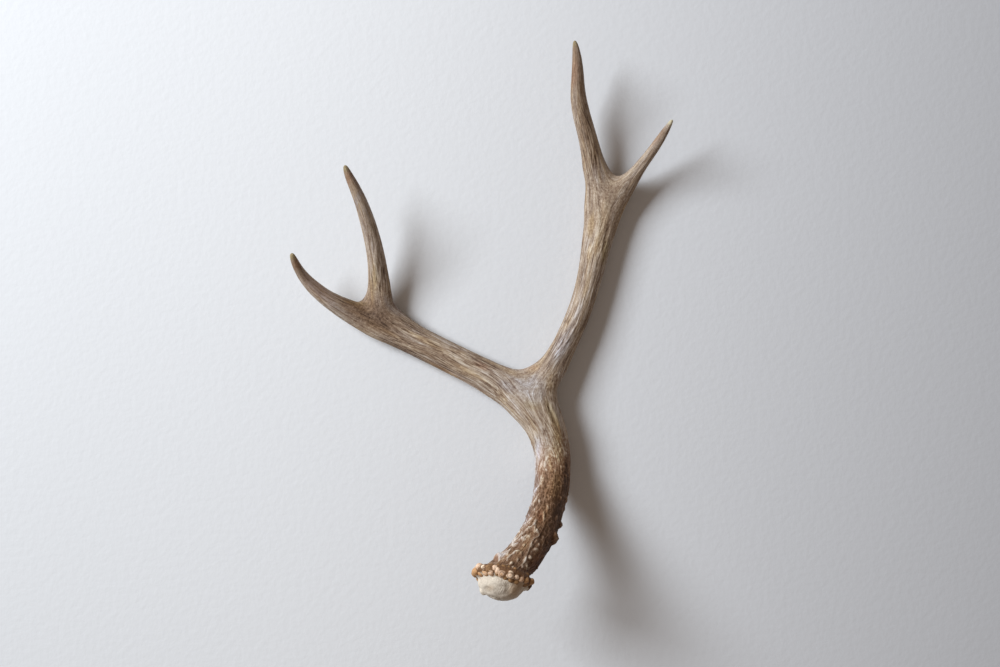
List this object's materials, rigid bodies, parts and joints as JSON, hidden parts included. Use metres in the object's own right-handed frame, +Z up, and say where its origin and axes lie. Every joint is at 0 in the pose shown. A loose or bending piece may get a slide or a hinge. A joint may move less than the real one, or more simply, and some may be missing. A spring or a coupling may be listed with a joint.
{
  "type": "deer antler",
  "caption": "Shed deer antler lying on its outer curve: domed seal, knobby burr, pearled curving beam, a main fork, and a forked branch on each side ending in smooth pointed tines.",
  "frame": {"origin": "on the floor, under the middle of the antler's bounding box", "axes": "+Z up out of the floor; the beam grows from the burr along +Y; +X is to the right of the growth, on the side of the rear branch"},
  "size_m": [0.2941, 0.4224, 0.107],
  "materials": {
    "antler_bone": "weathered antler: grey-tan ridged bone, chocolate brown and pearled near the burr, cream seal, smooth brown tines"
  },
  "bodies": {
    "root": {"lower_beam": "antler_bone", "front_branch": "antler_bone", "front_lower_tine": "antler_bone", "front_upper_tine": "antler_bone", "rear_branch": "antler_bone", "rear_long_tine": "antler_bone", "rear_short_tine": "antler_bone"}
  },
  "joints": []
}
